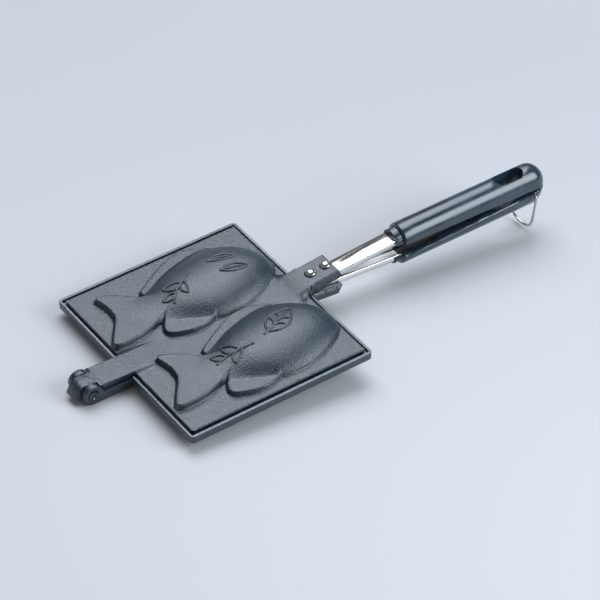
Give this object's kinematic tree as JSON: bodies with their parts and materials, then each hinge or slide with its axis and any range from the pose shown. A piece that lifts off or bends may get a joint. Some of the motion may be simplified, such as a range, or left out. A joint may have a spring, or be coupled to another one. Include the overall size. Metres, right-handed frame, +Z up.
{
  "type": "taiyaki pan",
  "caption": "Hinged pan for fish-shaped waffles: cast halves on a rear pin, riveted steel straps, black handle grips and a swinging wire latch.",
  "frame": {"origin": "centre of the bounding box on the surface that the pan stands on", "axes": "+X from the hinge to the handle, level; +Y across the plates; +Z up. The pan stands on its lower fish and its hinge ears, so its parting plane rises towards +X."},
  "size_m": [0.3674, 0.155, 0.0491],
  "materials": {
    "coated_casting": "dark blue-grey fine-grained baked coating, satin",
    "strap_chrome": "bright chrome plate",
    "rivet_steel": "bright plated steel",
    "pin_steel": "darkened steel",
    "wire_steel": "plain drawn wire",
    "grip_phenolic": "glossy black phenolic"
  },
  "bodies": {
    "lower_half": {"lower_plate": "coated_casting", "hinge_pin": "pin_steel", "lower_strap": "strap_chrome", "lower_inner_rivet": "rivet_steel", "lower_outer_rivet": "rivet_steel", "lower_grip": "grip_phenolic", "lower_grip_screw": "rivet_steel"},
    "upper_half": {"upper_plate": "coated_casting", "upper_strap": "strap_chrome", "upper_inner_rivet": "rivet_steel", "upper_outer_rivet": "rivet_steel", "upper_grip": "grip_phenolic", "upper_grip_screw": "rivet_steel"},
    "latch": {"latch_wire": "wire_steel"}
  },
  "joints": [
    {"name": "plate_hinge", "type": "hinge", "parent": "lower_half", "child": "upper_half", "pos_m": [-0.17273, 0, 0.0068], "axis": [0, -1, 0], "range_deg": [0, 140]},
    {"name": "latch_swing", "type": "hinge", "parent": "lower_half", "child": "latch", "pos_m": [0.17162, 0, 0.03105], "axis": [0, -1, 0], "range_deg": [-58, 232]}
  ]
}
